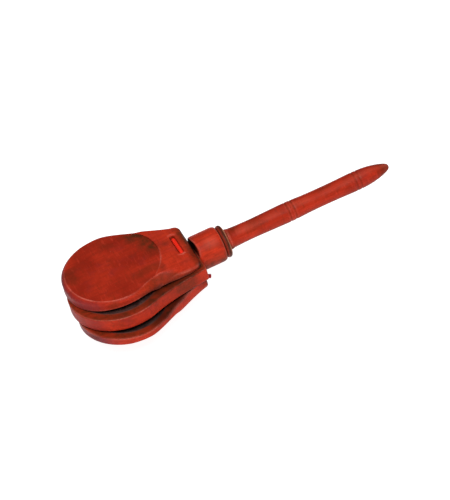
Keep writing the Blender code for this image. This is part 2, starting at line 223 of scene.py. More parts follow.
def plateau(value, middle, inner, outer):
    """1 within the inner distance of the middle, falling straight to 0 at the outer one."""
    return 1 - ramp(abs(value - middle), inner, outer)


# ------ outlines


def bezier(p0, p1, p2, p3, steps):
    found = []
    for i in range(1, steps + 1):
        t = i / steps
        weights = ((1 - t) ** 3, 3 * t * (1 - t) ** 2, 3 * t * t * (1 - t), t**3)
        pulls = list(zip(weights, (p0, p1, p2, p3)))
        found.append(tuple(sum(w * p[k] for w, p in pulls) for k in range(2)))
    return found


def side_curve(start, angle, reach, lead, end):
    side = 1 if angle > 0 else -1
    tangent = (sin(angle) * side, -cos(angle) * side)
    first = (start[0] + reach * tangent[0], start[1] + reach * tangent[1])
    return bezier(start, first, lead, end, SIDE_STEPS)


def on_circle(centre, radius, a):
    return (centre[0] + radius * cos(a), centre[1] + radius * sin(a))


def corner_arc(centre, radius, start):
    turns = [start + pi / 2 * i / CORNER_STEPS for i in range(1, CORNER_STEPS + 1)]
    return [on_circle(centre, radius, a) for a in turns]


def pear_outline(centre, radius, angles, leads, neck_half, back, corner):
    """A round end that narrows to a square-backed neck, anticlockwise from the far side."""
    upper, lower = angles
    arc = []
    for i in range(ARC_STEPS + 1):
        arc.append(on_circle(centre, radius, upper + (tau + lower - upper) * i / ARC_STEPS))
    near = side_curve(arc[-1], lower, leads[1][0], leads[1][1], (back - corner, -neck_half[1]))
    far = side_curve(arc[0], upper, leads[0][0], leads[0][1], (back - corner, neck_half[0]))
    near_corner = corner_arc((back - corner, corner - neck_half[1]), corner, -pi / 2)
    far_corner = corner_arc((back - corner, neck_half[0] - corner), corner, 0)
    span = neck_half[0] + neck_half[1] - 2 * corner
    edge = [(back, corner - neck_half[1] + span * i / BACK_STEPS) for i in range(1, BACK_STEPS + 1)]
    return arc + near + near_corner + edge + far_corner[:-1] + list(reversed(far))


def board_outline():
    leave = radians(BOARD_ANGLE)
    near_lead = (BOARD_LEAD[0], -BOARD_LEAD[1])
    leads = ((BOARD_REACH, BOARD_LEAD), (BOARD_REACH, near_lead))
    half = (SHOULDER_HALF, SHOULDER_HALF)
    angles = (leave, -leave)
    return pear_outline(BOARD_CENTRE, BOARD_RADIUS, angles, leads, half, BOARD_BACK, BOARD_CORNER)


def shell_outline(back, corner):
    """The top shell, which has the rounder corner, also swells a little at its far front."""
    angles = [radians(angle) for angle in SHELL_ANGLES]
    leads = list(zip(SHELL_REACHES, SHELL_LEADS))
    swell = FAR_SWELL if corner == TOP_SHELL_CORNER else 0.0
    cx, cy = SHELL_CENTRE
    points = []
    for x, y in pear_outline(SHELL_CENTRE, SHELL_RADIUS, angles, leads, NECK_HALF, back, corner):
        felt = fade(abs(head_turn(x, y) - SWELL_TURN), *SWELL_SPREAD)
        out = 1 + swell / SHELL_RADIUS * felt
        points.append((cx + (x - cx) * out, cy + (y - cy) * out))
    return points


# ------ ring work


def toward(points, targets, distances):
    """Points moved by given distances towards their targets."""
    moved = []
    for p, q, d in zip(points, targets, distances):
        reach = hypot(q[0] - p[0], q[1] - p[1])
        moved.append((p[0] + (q[0] - p[0]) * d / reach, p[1] + (q[1] - p[1]) * d / reach))
    return moved


def around(points, centre, radius):
    """Where the rays from a centre to points cross a circle."""
    turns = [atan2(p[1] - centre[1], p[0] - centre[0]) for p in points]
    return [on_circle(centre, radius, a) for a in turns]


def between(first, second, share):
    pairs = zip(first, second)
    return [(a[0] + (b[0] - a[0]) * share, a[1] + (b[1] - a[1]) * share) for a, b in pairs]


def raised(points, level):
    return [(x, y, level(x, y) if callable(level) else level) for x, y in points]


def loft(bm, rings, tips=(Vector(), Vector())):
    """Skin rings of equally many points. The first and last ring close onto a middle point.

    tips says how far each middle point stands off its ring.
    """
    loops = [[bm.verts.new(p) for p in ring] for ring in rings]
    for low, high in zip(loops, loops[1:]):
        for i, corner in enumerate(low):
            j = (i + 1) % len(low)
            bm.faces.new((corner, low[j], high[j], high[i]))
    for loop, tip in zip((loops[0], loops[-1]), tips):
        middle = bm.verts.new(sum((v.co for v in loop), Vector()) / len(loop) + tip)
        for i, corner in enumerate(loop):
            bm.faces.new((corner, loop[(i + 1) % len(loop)], middle))


def bowl_rings(outline, centre, radius, depth, level, inward):
    """Rings from the edge of a flat land down a rounded hollow."""
    rings = []
    for share in BOWL_SHARES:
        drop = (1 - share**5) ** 0.5
        circle = around(outline, centre, radius * share)
        base = [level(x, y) * (1 - drop) if callable(level) else level for x, y in circle]
        rings.append([(x, y, z + inward * depth * drop) for (x, y), z in zip(circle, base)])
    return rings


def land_rings(outline, spine, land, level, outward, edge):
    """Rings from a hollow's rim out to a softly rounded edge, ending on the outline's wall."""
    inner = toward(outline, spine, [edge] * len(outline))
    rings = [raised(between(inner, land, share), level) for share in LAND_SHARES]
    for i in range(1, SOFT_EDGE_STEPS + 1):
        a = pi / 2 * i / SOFT_EDGE_STEPS
        ring = toward(outline, spine, [edge * (1 - sin(a))] * len(outline))
        lift = -outward * edge * (1 - cos(a))
        rings.append([(x, y, z + lift) for x, y, z in raised(ring, level)])
    return rings


def mesh_object(name, build):
    """An object whose mesh is what build puts into an empty bmesh."""
    mesh = bpy.data.meshes.new(name)
    bm = bmesh.new()
    build(bm)
    bmesh.ops.recalc_face_normals(bm, faces=bm.faces)
    bm.to_mesh(mesh)
    bm.free()
    obj = bpy.data.objects.new(name, mesh)
    bpy.context.scene.collection.objects.link(obj)
    return obj


def apply_boolean(obj, build, operation):
    """Cut or join a shape into a mesh for good, and drop the helper."""
    helper = mesh_object("helper", build)
    boolean = obj.modifiers.new("boolean", "BOOLEAN")
    boolean.operation = operation
    boolean.solver = "EXACT"
    boolean.object = helper
    bpy.context.view_layer.update()
    graph = bpy.context.evaluated_depsgraph_get()
    made = bpy.data.meshes.new_from_object(obj.evaluated_get(graph))
    obj.modifiers.clear()
    obj.data = made
    bpy.data.objects.remove(helper, do_unlink=True)


def shade(obj, angle):
    """Smooth shading, but for edges sharper than an angle in degrees."""
    obj.data.polygons.foreach_set("use_smooth", [True] * len(obj.data.polygons))
    obj.data.set_sharp_from_angle(angle=radians(angle))


def paint(obj, **layers):
    """Store numbers from 0 to 1 on every vertex, for the material to read."""
    for name, value_at in layers.items():
        layer = obj.data.attributes.new(name, "FLOAT", "POINT")
        values = [value_at(v.co, v.normal) for v in obj.data.vertices]
        layer.data.foreach_set("value", [min(max(v, 0.0), 1.0) for v in values])


def wander(co, size, seed):
    """Smooth noise from -1 to 1 at a point, with features of a given size."""
    return noise.noise(Vector(co) / size + Vector((seed, seed * 1.7, -seed)))


def line_distance(points, spacing=0.0002):
    """A function that gives how far a point is from a closed line."""
    closed = [Vector(p) for p in points] + [Vector(points[0])]
    dense = resample(closed, spacing)
    tree = KDTree(len(dense))
    for i, p in enumerate(dense):
        tree.insert(p, i)
    tree.balance()
    return lambda co: tree.find(co)[2]


# ------ shells


# How far a shell's outer edge falls and reaches in: everywhere, and more at the front, at the
# neck's tail, in the scoop of the near waist and at the ear, the neck's sagging near corner
EDGE_FALLS = (0.0013, 0.0008, 0.0022, 0.0046, 0.0030)
EDGE_REACHES = (0.0014, 0.0012, 0.0022, 0.0033, 0.0045)

# Where each of these is felt, along the shell or across it
NEAR_SIDE = (0.0, 0.014)
EAR_SPAN = (-0.027, -0.012)
FRONT_SPAN = (0.060, 0.080)
TAIL_START = -0.025
FAR_TAIL_FADE = (0.006, 0.014)
SCOOP_SPAN = (-0.047, -0.016)


def arch(x, y):
    """A shell's rim stands off the board at the sides and touches it at the tip and neck."""
    start = SHELL_CENTRE_X - SHELL_RADIUS
    return SHELL_ARCH * sin(pi * ramp(x, start, ARCH_END))


def ear_share(x, y):
    """How much of the neck's sagging near corner is felt at a place."""
    return ramp(-y, *NEAR_SIDE) * ease(x, *EAR_SPAN)


def edge_shape(x, y, back):
    """How far the outer edge falls, how far in that reaches, and how straight the fall is."""
    front = ramp(-x, *FRONT_SPAN)
    tail = ease(x, TAIL_START, back) * (1 - 0.5 * ramp(y, *FAR_TAIL_FADE))
    scoop = ramp(-y, *NEAR_SIDE) * sin(pi * ramp(x, *SCOOP_SPAN)) ** 2
    shares = (1, front, tail, scoop, ear_share(x, y))
    fall = sum(depth * share for depth, share in zip(EDGE_FALLS, shares))
    reach = sum(depth * share for depth, share in zip(EDGE_REACHES, shares))
    return fall, reach, max(0.5 - 0.5 * tail, scoop)


def shell_spine(outline):
    """For each point of the outline, where on the neck's middle line its rings draw in to."""
    shares = [ramp(x, SHELL_CENTRE_X, SPINE_END) for x, y in outline]
    length = SPINE_END - SHELL_CENTRE_X
    return [(SHELL_CENTRE_X + share * length, SHELL_OFFSET * (1 - share)) for share in shares]


def shell_fillets(outline, spine, back):
    """Rings up the outer edge from the wall to the flat face, each with its drops below it.

    The edge is round or slanted, and where the near corner sags it hollows instead.
    """
    shapes = [(*edge_shape(x, y, back), ear_share(x, y)) for x, y in outline]
    fillets = []
    for i in range(EDGE_STEPS + 1):
        t = i / EDGE_STEPS
        inward = 1 - cos(t * pi / 2)
        below = 1 - sin(t * pi / 2)
        inset = []
        drop = []
        for fall, reach, flat, sag in shapes:
            d = reach * (inward + (t - inward) * flat)
            inset.append(d + (reach * t - d) * sag)
            d = fall * (below + (1 - t - below) * flat)
            drop.append(d + (fall * (1 - t) ** 2 - d) * sag)
        fillets.append((toward(outline, spine, inset), drop))
    return fillets


def head_reach(x, y):
    return hypot(x - SHELL_CENTRE_X, y - SHELL_OFFSET)


def head_turn(x, y):
    """Degrees round the shell's centre, from the neck towards the far side."""
    return degrees(atan2(y - SHELL_OFFSET, x - SHELL_CENTRE_X))


def face_levels(top_edge):
    """The neck's pad stands proud of the disc."""
    start, end = (STEP_RADIUS + blend for blend in STEP_BLEND)
    past = [ease(head_reach(x, y), start, end) for x, y in top_edge]
    return [SHELL_THICK + PAD_PROUD * share for share in past]


def build_shell(bm, back, corner, seed):
    outline = shell_outline(back, corner)
    spine = shell_spine(outline)
    land = around(outline, SHELL_CENTRE, BOWL_RADIUS)
    bowl = bowl_rings(outline, SHELL_CENTRE, BOWL_RADIUS, BOWL_DEPTH, arch, 1)
    rings = list(reversed(bowl)) + land_rings(outline, spine, land, arch, -1, SHELL_EDGE)

    fillets = shell_fillets(outline, spine, back)
    top_edge = fillets[-1][0]
    level = face_levels(top_edge)
    wall_top = [h - drop for h, drop in zip(level, fillets[0][1])]
    wall_foot = [z for x, y, z in rings[-1]]
    for part in WALL_SHARES:
        rings.append([(x, y, a + (b - a) * part) for (x, y), a, b in zip(outline, wall_foot, wall_top)])
    for ring, drop in fillets:
        rings.append([(x, y, h - d) for (x, y), h, d in zip(ring, level, drop)])

    cx, cy = SHELL_CENTRE
    reaches = [head_reach(x, y) for x, y in top_edge]
    foot = [min(STEP_RADIUS, reach - 0.0004) for reach in reaches]
    rays = [((x - cx) / r, (y - cy) / r) for (x, y), r in zip(top_edge, reaches)]
    for part in STEP_SHARES:
        radii = [r + (s - r) * part for r, s in zip(reaches, foot)]
        rings.append([(cx + c * r, cy + s * r, h) for (c, s), r, h in zip(rays, radii, level)])
    for part in DISC_SHARES:
        radii = [s * part for s in foot]
        rings.append([(cx + c * r, cy + s * r, SHELL_THICK) for (c, s), r in zip(rays, radii)])
    loft(bm, rings)
    for v in bm.verts:
        if arch(v.co.x, v.co.y) + 0.0005 < v.co.z < SHELL_THICK - 0.0002:
            middle = Vector((cx, cy, v.co.z))
            v.co += (middle - v.co).normalized() * WAVER * (1 + wander(v.co, 0.011, seed))


def slot_shape(bm):
    """The trench that the cord lies in, which flares at its mouth."""
    loops = []
    levels = (PAD_HEIGHT - CORD_SLOT_DEPTH, PAD_HEIGHT - 0.0003, PAD_HEIGHT + 0.003)
    for z, spread in zip(levels, (0.0, 0.0, 0.0022)):
        r = HOLE_RADIUS + spread
        loop = []
        for side, start in ((1, 0.0), (-1, pi)):
            for i in range(SLOT_STEPS + 1):
                a = start + pi * i / SLOT_STEPS
                loop.append((*on_circle((CORD_X, side * HOLE_OFFSET), r, a), z))
        loops.append(loop)
    loft(bm, loops)


def hole_shape(bm, side):
    centre = (CORD_X, side * HOLE_OFFSET)
    turns = [tau * i / HOLE_STEPS for i in range(HOLE_STEPS)]
    circle = [on_circle(centre, HOLE_RADIUS, a) for a in turns]
    loft(bm, [raised(circle, z) for z in (BELOW_RIM, PAD_HEIGHT + 0.002)])


def tail_groove_shape(bm):
    start = Vector((CORD_X, HOLE_OFFSET, 0))
    along = (Vector((TAIL_END[0], -TAIL_END[1], 0)) - start).normalized()
    end = start + along * TAIL_GROOVE_REACH
    across = along.cross(Vector((0, 0, 1))) * HOLE_RADIUS
    corners = [start - across, start + across, end + across, end - across]
    loft(bm, [[(p.x, p.y, z) for p in corners] for z in (BELOW_RIM, TAIL_GROOVE_TOP)])


def shell_wear(back, corner, flipped):
    """Light edges, partly where handling has thinned the stain and partly painted edge highlight: the
    face's edge, ear, rim and step, and chips at the slot's ends.
    """
    outline = shell_outline(back, corner)
    fillets = shell_fillets(outline, shell_spine(outline), back)
    top_edge = fillets[-1][0]
    level = face_levels(top_edge)
    face_line = line_distance([(x, y, z) for (x, y), z in zip(top_edge, level)])
    ear_line = line_distance([(x, y, z - d) for (x, y), z, d in zip(outline, level, fillets[0][1])])
    rim_line = line_distance(raised(outline, arch))

    def wear(co, normal):
        x, y, z = co
        handled = 0.25 + 0.75 * ease(-y, -0.022, 0.004)
        handled *= 0.45 + 0.55 * ease(-x, 0.046, 0.066)
        face = 0.85 * (1 - ramp(face_line(co), 0.0001, 0.0006)) * handled * fade(x, -0.030, -0.020)
        ear = 0.5 * (1 - ramp(ear_line(co), 0.0001, 0.0008)) * ear_share(x, y) * (x < -0.004)
        rim = 1 - ramp(rim_line(co), 0.0002, 0.0009)
        rim *= 0.5 + 0.4 * flipped * ease(x, -0.050, -0.020)
        on_step = abs(head_reach(x, y) - STEP_RADIUS) < 0.00035 and abs(y - SHELL_OFFSET) < 0.022
        step = 0.55 * on_step * (z > SHELL_THICK - TOUCH) * fade(y, -0.006, 0.007)
        past_slot = abs(abs(y) - HOLE_OFFSET - HOLE_RADIUS)
        chip = 1 - ramp(hypot(x - CORD_X, past_slot), 0.0012, 0.0022)
        chip *= 1.6 * ease(wander(co, 0.0012, 41), 0.05, 0.35) * (z > PAD_HEIGHT - 0.0003)
        return max(max(face, ear, rim, step) * (0.80 + 0.8 * wander(co, 0.006, 3)), chip)

    return wear


def shell_hollow(co, normal):
    """The bowl, which is left rough and stained nearly black."""
    reach = head_reach(co.x, co.y)
    in_bowl = co.z < BOWL_DEPTH + 0.0006 and normal.z < 0.35
    return in_bowl * fade(reach, BOWL_RADIUS - 0.0002, BOWL_RADIUS + 0.0012)


def shell_smudge(co, normal):
    """Brown dirt by the step and in patches; painted shade in the slot, behind the neck and on the land
    that faces the board; dirt with painted shade in the waist's scoop.
    """
    x, y, z = co
    inside = STEP_RADIUS - head_reach(x, y)
    by_step = (1 - ramp(inside, 0.0025, 0.0105)) * (inside > 0) * plateau(head_turn(x, y), 24, 18, 40)
    by_step *= 1.0 + 1.2 * wander(co, 0.0040, 5)
    # Painted shade in the slot's trench.
    in_slot = abs(y) < HOLE_OFFSET + 0.0020 and 0.003 < z < PAD_HEIGHT - TOUCH
    slot = 0.55 * plateau(x, CORD_X, 0.0015, 0.0021) * in_slot
    ear = ear_share(x, y)
    # Painted shade behind the neck.
    back = ease(x, -0.0095, -0.0045) * (0.95 - 0.4 * ear - 0.5 * ease(y, 0.007, 0.014))
    # Dirt with painted shade on the waist's scooped wall.
    scoop = sin(pi * ramp(x, -0.050, -0.001)) * ease(-y, 0.008, 0.016)
    scoop *= 0.62 * fade(normal.z, 0.75 - 0.5 * ear, 0.95 - 0.45 * ear)
    # Painted shade on the land, which faces the board.
    land = 0.72 * (normal.z < -0.5)
    patch = 0.45 * ease(wander(co, 0.010, 9), 0.15, 0.6)
    return max(by_step, slot, back, scoop, land, patch)


def shell_soot(back):
    """Painted shade, near black, behind the neck and along the rim by the board, and a painted shadow in a
    blot at its near corner.
    """

    def soot(co, normal):
        x, y, z = co
        wall = ease(x, back - 0.0012, back - 0.0004) * ease(normal.x, 0.3, 0.7)
        wall *= 1 - 0.7 * ease(-y, 0.006, 0.011)
        corner = Vector((back, -NECK_HALF[1] + 0.0020, 0.0010))
        # A painted shadow at the neck's near corner.
        blot = fade((Vector(co) - corner).length, 0.0014, 0.0036)
        # Painted shade along the rim by the board.
        crease = fade(z - arch(x, y), 0.0003, 0.0020) * ease(x, -0.050, -0.036)
        crease *= ease(abs(y), 0.008, 0.013) * (0.75 + 0.4 * wander(co, 0.006, 49))
        return max(0.9 * wall, 0.85 * blot, 0.8 * crease)

    return soot


def shell_dusk(flipped):
    """A purplish painted shade over the sloped edge round the front and the top shell's far side."""

    def dusk(co, normal):
        x, y, z = co
        slope = ease(1 - abs(normal.z), 0.03, 0.35)
        front = ease(-x, 0.062, 0.078)
        far = 0.0 if flipped else 0.8 * ease(y, 0.012, 0.026)
        return slope * max(front, far) * (0.85 + 0.5 * wander(co, 0.012, 14))

    return dusk


def shell_tone(co, normal):
    """The pad on the neck is a brighter red than the disc."""
    if normal.z < 0.9 or co.z < SHELL_THICK - 0.0002:
        return 0.6 + 0.3 * wander(co, 0.012, 33)
    on_pad = head_reach(co.x, co.y) > STEP_RADIUS - 0.0002
    return 0.85 if on_pad else 0.26 + 0.30 * wander(co, 0.011, 31)


def make_shell(name, body, node, back, corner, flipped, seed):
    shell = mesh_object(name, lambda bm: build_shell(bm, back, corner, seed))
    cuts = [slot_shape] + [lambda bm, side=side: hole_shape(bm, side) for side in (-1, 1)]
    if flipped:
        cuts.append(tail_groove_shape)
    for cut in cuts:
        apply_boolean(shell, cut, "DIFFERENCE")
    shade(shell, CARVED_SHARP)
    paint(shell, wear=shell_wear(back, corner, flipped), hollow=shell_hollow, smudge=shell_smudge)
    paint(shell, dusk=shell_dusk(flipped), tone=shell_tone, soot=shell_soot(back))
    turn = Matrix.Rotation(pi, 4, "X") if flipped else Matrix.Identity(4)
    lift = Matrix.Translation(Vector((0, 0, RIM_LEVEL)))
    shell.data.transform(FROM_SHOULDER @ turn @ lift)
    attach(shell, body)
    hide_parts(node)
    return shell


# ------ board and collar


def build_board(bm):
    outline = board_outline()
    half = BOARD_THICK / 2
    spine = [(min(max(x, BOARD_CENTRE_X), SPINE_END), 0) for x, y in outline]
    land = around(outline, BOARD_CENTRE, DISH_RADIUS)
    rings = []
    for side in (-1, 1):
        level = side * half
        dish = bowl_rings(outline, BOARD_CENTRE, DISH_RADIUS, DISH_DEPTH, level, -side)
        face = list(reversed(dish)) + land_rings(outline, spine, land, level, side, BOARD_EDGE)
        rings += face if side < 0 else list(reversed(face))
    middle = len(rings) // 2
    walls = [raised(outline, z) for z in BOARD_WALL_LEVELS]
    loft(bm, rings[:middle] + walls + rings[middle:])
    for v in bm.verts:
        if abs(v.co.z) < half - 0.0012 and v.co.x < -0.006:
            inward = Vector((BOARD_CENTRE_X - v.co.x, -v.co.y, 0)).normalized()
            v.co += inward * WAVER * (1 + wander(v.co, 0.012, 2))


def revolve(bm, profile, closed=False):
    """Turn (x, radius) stations about the handle's axis. A radius of 0 closes an end."""
    rings = []
    for x, radius in profile:
        turns = [tau * i / TURN_STEPS for i in range(TURN_STEPS if radius > 0 else 1)]
        rings.append([bm.verts.new((x, radius * cos(a), radius * sin(a))) for a in turns])
    following = rings[1:] + rings[:1] if closed else rings[1:]
    for low, high in zip(rings, following):
        for i in range(TURN_STEPS):
            j = (i + 1) % TURN_STEPS
            quad = (low[i % len(low)], low[j % len(low)], high[j % len(high)], high[i % len(high)])
            bm.faces.new(list(dict.fromkeys(quad)))


def fine_profile(stations, spacing=0.0006, rounding=2):
    """Stations resampled at an even spacing and softened, with the first and last kept."""
    dense = []
    for (x0, r0), (x1, r1) in zip(stations, stations[1:]):
        count = max(1, round(hypot(x1 - x0, r1 - r0) / spacing))
        dense += [(x0 + (x1 - x0) * i / count, r0 + (r1 - r0) * i / count) for i in range(count)]
    dense.append(stations[-1])
    for _ in range(rounding):
        inner = zip(dense, dense[1:], dense[2:])
        softened = [((a[0] + 2 * b[0] + c[0]) / 4, (a[1] + 2 * b[1] + c[1]) / 4) for a, b, c in inner]
        dense = [dense[0], *softened, dense[-1]]
    return dense


def build_collar(bm):
    """A short drum whose end towards the grip is softly rounded, with the grip's socket."""
    length, depth = COLLAR_END_ROUND
    soft = COLLAR_SOFT
    end_radius = COLLAR_RADIUS - depth
    outer = [(COLLAR_START, COLLAR_RADIUS - soft), (COLLAR_START + soft, COLLAR_RADIUS)]
    for i in range(END_STEPS + 1):
        a = pi / 2 * i / END_STEPS
        outer.append((COLLAR_LENGTH - length * (1 - sin(a)), end_radius + depth * cos(a)))
    outer.append((COLLAR_LENGTH, end_radius - soft))
    socket = TENON_RADIUS + GAP
    bottom = COLLAR_LENGTH - TENON_DEPTH - GAP
    inner = [(COLLAR_LENGTH, socket), (bottom, socket), (bottom, 0)]
    revolve(bm, [(COLLAR_START, 0), *fine_profile(outer), *inner])
    for v in bm.verts:
        v.co.x += cut_back(v.co) * (1 - ramp(v.co.x, COLLAR_START, 0.004))


def side_turn(co):
    """Degrees round the handle's axis, from the near side up over the top."""
    return degrees(atan2(co.z, -co.y))


def cut_back(co):
    """How far the drum's front edge runs back on the near side, and forward on the far side."""
    turned = side_turn(co)
    near = ease(turned, 18, 48) * fade(turned, 52, 105)
    far = ease(turned, 75, 105) * fade(turned, 130, 155)
    return CUT_BACK * (near - 0.45 * far)


def build_tongue(bm):
    """A block inside the board and the drum, which makes them one solid."""
    half_width = COLLAR_RADIUS - TONGUE_INSET[0]
    half_height = BOARD_THICK / 2 - TONGUE_INSET[1]
    start, end = BOARD_BACK - TONGUE_REACH, COLLAR_LENGTH / 4
    corners = [(start, -half_width), (end, -half_width), (end, half_width), (start, half_width)]
    loft(bm, [raised(corners, -half_height), raised(corners, half_height)])


def paddle_wear(co, normal):
    """Light edges, partly thinned stain and partly painted edge highlight: the drum's two end edges, and
    the slants round the board.
    """
    x, y, z = co
    if x > BOARD_BACK + 0.0002:
        at_end = band(x, COLLAR_LENGTH - COLLAR_SOFT, 0.0005)
        at_face = band(x, COLLAR_START + 0.0005 + cut_back(co), 0.0007) * (z > 0.0048)
        return 0.5 * max(at_end, at_face) * (0.8 + 0.6 * wander(co, 0.005, 4))
    slant = band(abs(normal.z), 0.70, 0.30)
    outer = 0.8 if hypot(x - BOARD_CENTRE_X, y) > DISH_RADIUS + 0.002 else 0.4
    return outer * slant * (0.6 + 0.8 * wander(co, 0.008, 6))


def paddle_hollow(co, normal):
    reach = hypot(co.x - BOARD_CENTRE_X, co.y)
    return fade(reach, DISH_RADIUS - 0.0006, DISH_RADIUS + 0.0008) * 0.92


def paddle_smudge(co, normal):
    """Painted shade where the shells touch the board, behind the necks and under the drum; darker at the
    waist; dirt in the ring's seat and in patches.
    """
    x, y, z = co
    on_board = x < BOARD_BACK + TOUCH
    flatness = abs(normal.z)
    # Painted shade on the board under the shells and behind the necks.
    land = (0.78 + 0.22 * ease(x, -0.045, -0.032)) * (flatness > 0.6) * on_board
    seam = 0.75 * ease(x, -0.010, -0.003) * (flatness > 0.5) * on_board * (abs(y) < 0.0155)
    waist = 0.60 * ease(x, -0.034, -0.016) * fade(x, -0.012, -0.005) * (abs(normal.y) > 0.6)
    seat = ease(x, COLLAR_LENGTH - 0.0010, COLLAR_LENGTH)
    # Painted shade on the drum's underside.
    under = 0.8 * ease(-z, -0.005, 0.004) * (x > 0)
    patch = (0.2 if x > 0 else 0.4) * ease(wander(co, 0.011, 12), 0.1, 0.6)
    return max(land, seam, waist, seat, under, patch)


def paddle_soot(co, normal):
    """Painted shade, near black, on the drum's face, on the board before it and along the gaps by the
    shells.
    """
    x, y, z = co
    hidden = fade(-y, 0.0020, 0.0080)
    on_face = abs(x) < 0.002 and normal.x < -0.5 and hypot(y, z) < COLLAR_RADIUS - 0.0002
    face = (0.35 + 0.65 * hidden) * on_face
    before = ease(x, -0.0050, -0.0020) * (x < COLLAR_START + cut_back(co) + 0.0003)
    before *= (abs(normal.z) > 0.5) * (abs(y) < 0.012)
    crease = 0.45 * ease(x, -0.046, -0.036) * fade(x, -0.006, -0.002)
    crease *= (abs(z) > 0.0038) * (abs(y) > 0.012) * (0.8 + 0.6 * wander(co, 0.005, 51))
    return max(face, 0.9 * before * hidden, crease)


# Painted shade, purplish, over the sloped edges round the board's front.
def paddle_dusk(co, normal):
    slope = ease(1 - abs(normal.z), 0.1, 0.6) * ease(-co.x, 0.066, 0.080)
    return 0.6 * slope * (0.7 + 0.6 * wander(co, 0.01, 17))


def paddle_sheen(co, normal):
    """A painted highlight patch on the near shoulder of the drum."""
    patch = plateau(co.x, 0.0085, 0.0010, 0.0055) * plateau(side_turn(co), 58, 4, 26)
    return patch * (co.x > 0) * (1.0 + 0.9 * wander(co, 0.0045, 43))


def paddle_tone(co, normal):
    return (1.0 if co.x > 0 else 0.62) + 0.3 * wander(co, 0.012, 35)


def make_paddle():
    paddle = mesh_object("paddle_wood", build_board)
    for build in (build_collar, build_tongue):
        apply_boolean(paddle, build, "UNION")
    shade(paddle, CARVED_SHARP)
    paint(paddle, wear=paddle_wear, hollow=paddle_hollow, smudge=paddle_smudge)
    paint(paddle, dusk=paddle_dusk, tone=paddle_tone, soot=paddle_soot, sheen=paddle_sheen)
    paddle.data.transform(FROM_SHOULDER)
    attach(paddle, "handle")
    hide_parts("paddle")
    return paddle


# ------ ring and grip


def build_ring(bm):
    half = RING_THICK / 2
    crown = RING_RADIUS - half
    section = [(RING_MIDDLE - half, RING_BORE)]
    for i in range(CROWN_STEPS + 1):
        a = pi * (1 - i / CROWN_STEPS)
        section.append((RING_MIDDLE + half * cos(a), crown + half * sin(a)))
    section.append((RING_MIDDLE + half, RING_BORE))
    revolve(bm, section, closed=True)


def make_ring():
    ring = mesh_object("dark_ring", build_ring)
    shade(ring, TURNED_SHARP)

    # A painted highlight, tan, on the crown towards the grip.
    def rubbed(co, normal):
        towards_grip = ease(normal.x, 0.35, 0.75) * fade(normal.x, 0.85, 1.0)
        crown = ease(hypot(co.y, co.z), 0.0085, 0.0092)
        return towards_grip * crown * (0.8 + 0.5 * wander(co, 0.006, 8))

    paint(ring, wear=rubbed, stained=lambda co, normal: ease(-normal.x, 0.05, 0.75))
    ring.data.transform(FROM_SHOULDER)
    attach(ring, "handle")
    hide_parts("ring")
    return ring


# The scored lines: how far along the handle each is, the radius there, and where the
# later and fainter pair begins
GROOVES = (0.0602, 0.0638, 0.1050, 0.1078)
GROOVE_RADII = (0.00613, 0.00605, 0.0059, 0.00585)
GROOVE_DEPTH = 0.0003
LATER_PAIR = 0.08


def grip_radius_stations():
    """(Distance, radius) pairs down the handle, from its lip by the ring to the last lines."""
    scored = []
    for x, r in zip(GROOVES, GROOVE_RADII):
        deep = r - GROOVE_DEPTH
        scored += [(x - 0.0005, r), (x - 0.0001, deep), (x + 0.0001, deep), (x + 0.0005, r)]
    profile = [(GRIP_START + 0.0001, 0.0062), (GRIP_START + 0.0006, 0.0065), (GRIP_START + 0.0018, 0.0065)]
    profile += [(GRIP_START + 0.0024, 0.0061), (0.0287, 0.0058), (0.0372, 0.0057), (0.0480, 0.00592)]
    profile += [(0.0560, 0.00608), *scored[:8], (0.0715, 0.0057), (0.0790, 0.00555), (0.0868, 0.00555)]
    profile += [(0.0945, 0.00565), (0.1000, 0.0058), *scored[8:], (0.1121, 0.00565), (0.1161, 0.0052)]
    return profile


def build_grip(bm):
    tenon = COLLAR_LENGTH - TENON_DEPTH
    tip = [(0.1197, 0.0045), (0.1228, 0.0037), (0.1256, 0.0027)]
    for a in (0.2, 0.6, 1.0, 1.3):
        tip.append((TIP_REACH - 0.0015 * (1 - sin(a)), 0.0021 * cos(a)))
    body = fine_profile([*grip_radius_stations(), *tip], 0.0005, 1)
    revolve(bm, [(tenon, 0), (tenon, TENON_RADIUS), (GRIP_START, TENON_RADIUS), *body, (TIP_REACH, 0)])


def grip_wear(co, normal):
    lip = 0.5 * band(co.x, GRIP_START + 0.0012, 0.0010)
    beside_lines = max(band(abs(co.x - groove), 0.0010, 0.0005) for groove in GROOVES)
    beside_lines *= 0.20 if co.x < LATER_PAIR else 0.10
    tip = 0.15 * ease(co.x, TIP_REACH - 0.006, TIP_REACH)
    return max(lip, beside_lines, tip) * (0.8 + 0.7 * wander(co, 0.005, 7))


def grip_smudge(co, normal):
    """Dirt in the scored lines, by the ring, at the tip and in patches, and painted shade underneath."""
    x, y, z = co
    scored = max(band(x, groove, 0.0006) for groove in GROOVES)
    scored *= 0.70 if x < LATER_PAIR else 0.45
    start = fade(x, GRIP_START + 0.002, GRIP_START + 0.011)
    start *= ease(wander(co, 0.006, 21), -0.35, 0.4)
    end = 0.7 * ease(x, TIP_REACH - 0.012, TIP_REACH - 0.001)
    patch = 0.35 * ease(wander((x * 0.45, y, z), 0.0065, 15), 0.1, 0.55)
    # Painted shade underneath.
    under = 0.45 * ease(-z, -0.0010, 0.0045)
    return max(scored, start, end, patch, under)


def grip_sheen(co, normal):
    """A painted highlight streak along the upper near side."""
    middle = 66 + 10 * wander((co.x, 0, 0), 0.012, 45)
    streak = 0.75 * plateau(side_turn(co), middle, 6, 30) * (co.x > GRIP_START + 0.006)
    return streak * (0.7 + 0.9 * wander((co.x * 0.6, co.y, co.z), 0.007, 47))


def grip_tone(co, normal):
    return 0.58 - 0.40 * ease(co.x, 0.085, TIP_REACH) + 0.3 * wander(co, 0.012, 37)


